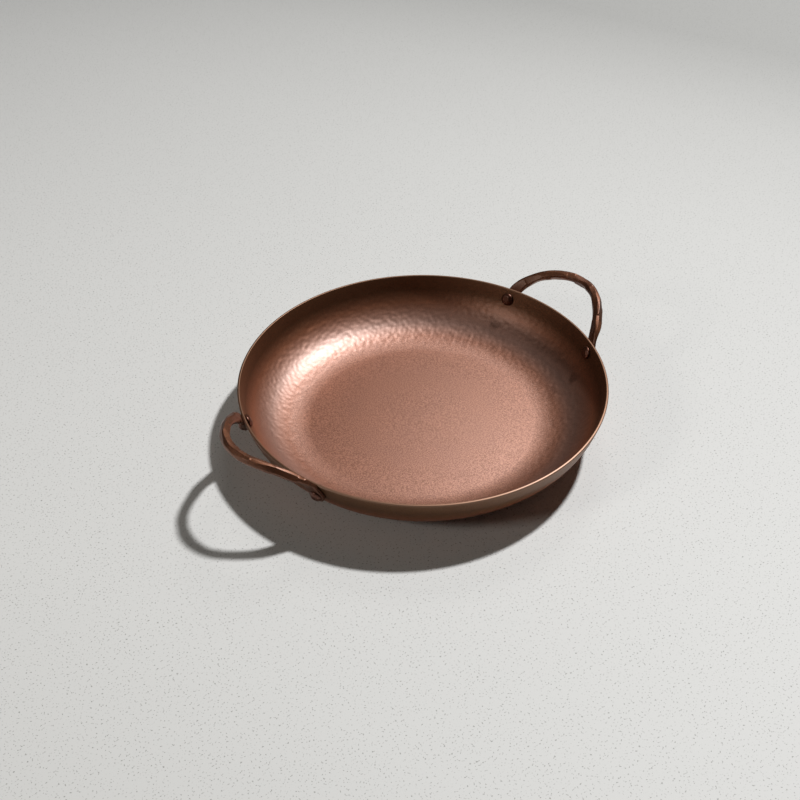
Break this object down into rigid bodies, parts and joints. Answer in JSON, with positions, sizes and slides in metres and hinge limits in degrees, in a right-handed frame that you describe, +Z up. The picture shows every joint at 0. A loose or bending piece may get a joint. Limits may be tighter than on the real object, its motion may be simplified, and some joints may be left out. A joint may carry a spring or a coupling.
{
  "type": "round roaster",
  "caption": "Shallow round steel roasting pan with a hammered, curved wall and forged loop handles riveted to its sides for lifting it.",
  "frame": {"origin": "middle of the pan's flat underside, on the surface that the pan stands on", "axes": "+X from the pan's axis to the middle of the right handle, +Y level across the pan, +Z up along the pan's axis"},
  "size_m": [0.431, 0.3556, 0.081],
  "materials": {
    "pan_steel": "seasoned satin, hammered wall",
    "handle_steel": "forged, dark oxide",
    "rivet_steel": "peened, dark oxide"
  },
  "bodies": {
    "root": {"pan": "pan_steel", "handle_right": "handle_steel", "handle_left": "handle_steel", "rivet_right_front": "rivet_steel", "rivet_right_back": "rivet_steel", "rivet_left_front": "rivet_steel", "rivet_left_back": "rivet_steel"}
  },
  "joints": []
}
